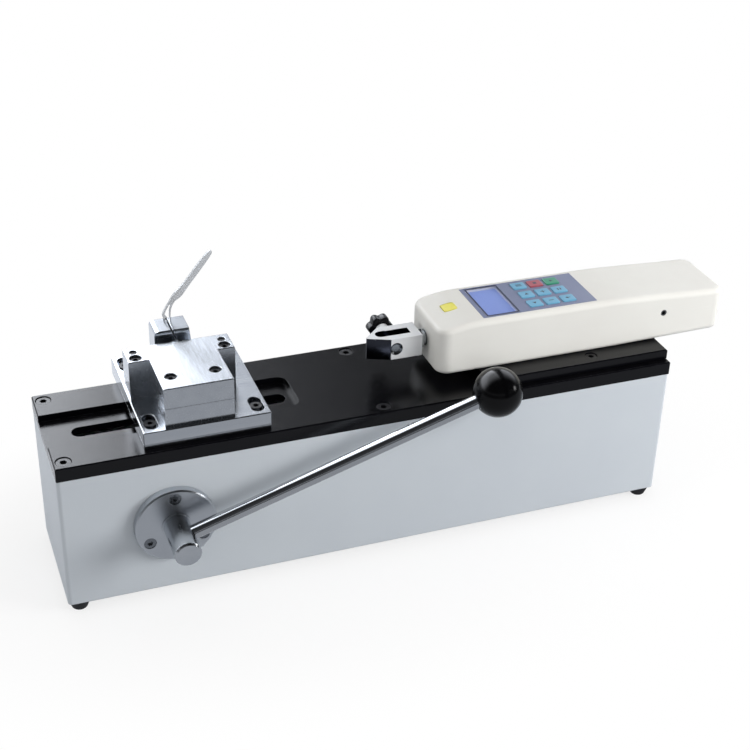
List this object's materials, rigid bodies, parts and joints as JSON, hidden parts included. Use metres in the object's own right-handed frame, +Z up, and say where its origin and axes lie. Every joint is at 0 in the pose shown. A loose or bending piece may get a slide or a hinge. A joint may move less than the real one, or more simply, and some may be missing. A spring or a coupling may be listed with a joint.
{
  "type": "terminal pull tester",
  "caption": "Bench tester with a hand lever that draws a wire clamp on a slide away from a slotted terminal block, and a force gauge that reads the pull",
  "frame": {"origin": "on the floor, below the middle of the top plate", "axes": "+X from the wire clamp to the gauge, +Y to the back, +Z up"},
  "size_m": [0.5015, 0.1503, 0.2135],
  "materials": {
    "painted_sheet": "smooth light blue-grey enamel",
    "zinc_sheet": "zinc plated sheet",
    "black_anodised": "black anodised, satin",
    "foot_rubber": "moulded, matt",
    "screw_steel": "bright zinc plated",
    "black_screw_steel": "black oxide",
    "polished_steel": "ground and polished",
    "turned_steel": "turned, satin",
    "bush_bronze": "sintered bronze",
    "rod_chrome": "bright chrome plating",
    "ball_plastic": "moulded, glossy",
    "gear_steel": "cut teeth, oiled",
    "jaw_steel": "hardened, ground and polished",
    "knob_plastic": "moulded, fine texture",
    "case_plastic": "moulded, off-white, fine texture",
    "panel_film": "printed film, blue-grey",
    "lens": "clear, violet tint",
    "display": "liquid crystal, dark",
    "key_blue": "soft moulded, light blue",
    "key_red": "soft moulded, red",
    "key_green": "soft moulded, green",
    "socket_metal": "nickel plated",
    "cell_aluminium": "milled",
    "board_laminate": "green laminate",
    "battery_wrap": "shrink wrap"
  },
  "bodies": {
    "bench": {"bench_housing": "painted_sheet", "bottom_cover": "zinc_sheet", "cover_screws": "screw_steel", "rubber_feet": "foot_rubber", "foot_screws": "screw_steel", "top_plate": "black_anodised", "top_plate_screws": "black_screw_steel", "gauge_riser": "black_anodised", "riser_screws": "black_screw_steel", "shaft_flange": "turned_steel", "flange_screws": "screw_steel", "front_bush": "bush_bronze", "thrust_washer": "turned_steel", "rear_bearing": "turned_steel", "measuring_shaft": "turned_steel", "lock_nut": "screw_steel", "terminal_block": "polished_steel", "gauge_lower_case": "case_plastic", "gauge_upper_case": "case_plastic", "keypad_panel": "panel_film", "display_window": "lens", "display_module": "display", "circuit_board": "board_laminate", "charge_socket": "socket_metal", "gauge_screws": "black_screw_steel", "load_cell": "cell_aluminium", "battery_pack": "battery_wrap"},
    "lever_drive": {"drive_shaft": "turned_steel", "retaining_ring": "black_screw_steel", "lever_rod": "rod_chrome", "ball_knob": "ball_plastic", "pinion": "gear_steel", "pinion_pin": "screw_steel"},
    "slide": {"rack": "gear_steel", "rack_screws": "black_screw_steel", "slide_shoe": "turned_steel", "slide_plate": "polished_steel", "cross_plate_screws": "black_screw_steel"},
    "cross_slide": {"cross_plate": "polished_steel", "tower_lower_block": "polished_steel", "tower_upper_block": "polished_steel", "tower_screws": "black_screw_steel", "tower_dowels": "black_screw_steel", "jaw_bed": "jaw_steel", "fixed_jaw": "jaw_steel", "lever_pivot": "screw_steel"},
    "jaw": {"moving_jaw": "jaw_steel"},
    "wire_lever": {"clamp_lever": "polished_steel"},
    "pin": {"cross_pin": "screw_steel"},
    "thumb": {"thumb_screw": "turned_steel", "thumb_knob": "knob_plastic"},
    "key_body_1_1": {"key_1_1": "key_blue"},
    "key_body_1_2": {"key_1_2": "key_blue"},
    "key_body_1_3": {"key_1_3": "key_blue"},
    "key_body_2_1": {"key_2_1": "key_red"},
    "key_body_2_2": {"key_2_2": "key_blue"},
    "key_body_2_3": {"key_2_3": "key_blue"},
    "key_body_3_1": {"key_3_1": "key_green"},
    "key_body_3_2": {"key_3_2": "key_blue"},
    "key_body_3_3": {"key_3_3": "key_blue"}
  },
  "joints": [
    {"name": "lever_turn", "type": "hinge", "parent": "bench", "child": "lever_drive", "pos_m": [-0.1493, 0, 0.0623], "axis": [0, -1, 0], "range_deg": [-28, 125]},
    {"name": "slide_travel", "type": "slide", "parent": "bench", "child": "slide", "axis": [1, 0, 0], "range_m": [-0.0435, 0.01]},
    {"name": "cross_travel", "type": "slide", "parent": "slide", "child": "cross_slide", "axis": [0, 1, 0], "range_m": [-0.005, 0.005]},
    {"name": "wire_lever_turn", "type": "hinge", "parent": "cross_slide", "child": "wire_lever", "pos_m": [-0.13, 0.046, 0.1495], "axis": [0, 1, 0], "range_deg": [0, 50]},
    {"name": "jaw_travel", "type": "slide", "parent": "cross_slide", "child": "jaw", "axis": [1, 0, 0], "range_m": [0, 0.0041]},
    {"name": "pin_travel", "type": "slide", "parent": "bench", "child": "pin", "axis": [0, 1, 0], "range_m": [0, 0.01261]},
    {"name": "thumb_turn", "type": "hinge", "parent": "pin", "child": "thumb", "pos_m": [0.023, 0, 0.1451], "axis": [0, 1, 0], "range_deg": [0, 4536]},
    {"name": "key_press_1_1", "type": "slide", "parent": "bench", "child": "key_body_1_1", "axis": [0, 0, -1], "range_m": [0, 0.0005], "stiffness_N_per_m": 400},
    {"name": "key_press_1_2", "type": "slide", "parent": "bench", "child": "key_body_1_2", "axis": [0, 0, -1], "range_m": [0, 0.0005], "stiffness_N_per_m": 400},
    {"name": "key_press_1_3", "type": "slide", "parent": "bench", "child": "key_body_1_3", "axis": [0, 0, -1], "range_m": [0, 0.0005], "stiffness_N_per_m": 400},
    {"name": "key_press_2_1", "type": "slide", "parent": "bench", "child": "key_body_2_1", "axis": [0, 0, -1], "range_m": [0, 0.0005], "stiffness_N_per_m": 400},
    {"name": "key_press_2_2", "type": "slide", "parent": "bench", "child": "key_body_2_2", "axis": [0, 0, -1], "range_m": [0, 0.0005], "stiffness_N_per_m": 400},
    {"name": "key_press_2_3", "type": "slide", "parent": "bench", "child": "key_body_2_3", "axis": [0, 0, -1], "range_m": [0, 0.0005], "stiffness_N_per_m": 400},
    {"name": "key_press_3_1", "type": "slide", "parent": "bench", "child": "key_body_3_1", "axis": [0, 0, -1], "range_m": [0, 0.0005], "stiffness_N_per_m": 400},
    {"name": "key_press_3_2", "type": "slide", "parent": "bench", "child": "key_body_3_2", "axis": [0, 0, -1], "range_m": [0, 0.0005], "stiffness_N_per_m": 400},
    {"name": "key_press_3_3", "type": "slide", "parent": "bench", "child": "key_body_3_3", "axis": [0, 0, -1], "range_m": [0, 0.0005], "stiffness_N_per_m": 400}
  ],
  "couplings": [
    {"joint": "slide_travel", "follows": "lever_turn", "m_per_rad": -0.0195},
    {"joint": "jaw_travel", "follows": "wire_lever_turn", "m_per_rad": 0.004584},
    {"joint": "pin_travel", "follows": "thumb_turn", "m_per_rad": 0.00015915}
  ]
}
